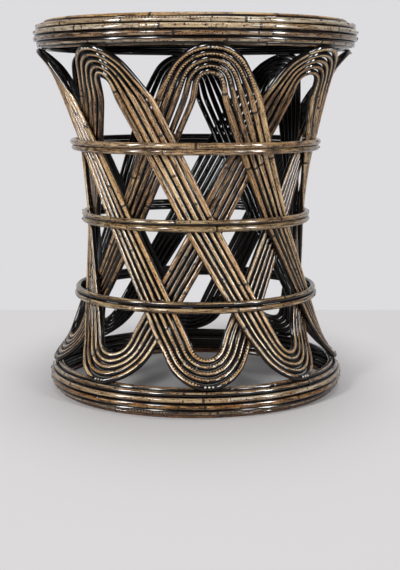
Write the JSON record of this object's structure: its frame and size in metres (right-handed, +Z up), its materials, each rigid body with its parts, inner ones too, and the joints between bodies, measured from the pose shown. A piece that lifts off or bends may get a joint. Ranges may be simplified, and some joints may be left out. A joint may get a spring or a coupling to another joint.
{
  "type": "mudda stool",
  "caption": "Round waisted rattan stool: a lattice of bent cane between two stacked cane rims, bound by double hoops, with a flat cane seat",
  "frame": {"origin": "centre of the base, on the floor", "axes": "+Z up, from the base rim to the seat; -Y is the side that the picture shows"},
  "size_m": [0.4066, 0.4066, 0.4659],
  "materials": {
    "cane": "antiqued glossy cane, straw crowns with dark stained grooves",
    "hoop": "antiqued glossy cane, brown and straw patches",
    "rim": "antiqued glossy cane, straw bands between dark grooves",
    "seat": "antiqued satin cane",
    "bar": "dark stained satin pole"
  },
  "bodies": {
    "root": {"lattice_a_cane_1": "cane", "lattice_a_cane_2": "cane", "lattice_a_cane_3": "cane", "lattice_a_cane_4": "cane", "lattice_a_cane_5": "cane", "lattice_b_cane_1": "cane", "lattice_b_cane_2": "cane", "lattice_b_cane_3": "cane", "lattice_b_cane_4": "cane", "lattice_b_cane_5": "cane", "lattice_c_cane_1": "cane", "lattice_c_cane_2": "cane", "lattice_c_cane_3": "cane", "lattice_c_cane_4": "cane", "lattice_c_cane_5": "cane", "lattice_d_cane_1": "cane", "lattice_d_cane_2": "cane", "lattice_d_cane_3": "cane", "lattice_d_cane_4": "cane", "lattice_d_cane_5": "cane", "lower_hoop_bottom": "hoop", "lower_hoop_top": "hoop", "middle_hoop_bottom": "hoop", "middle_hoop_top": "hoop", "upper_hoop_bottom": "hoop", "upper_hoop_top": "hoop", "base_ring_1": "rim", "base_ring_2": "rim", "base_ring_3": "rim", "base_ring_4": "rim", "base_ring_5": "rim", "base_ring_6": "rim", "top_ring_1": "rim", "top_ring_2": "rim", "top_ring_3": "rim", "top_ring_4": "rim", "top_ring_5": "rim", "seat_deck": "seat", "seat_bar_1": "bar", "seat_bar_2": "bar", "seat_bar_3": "bar"}
  },
  "joints": []
}
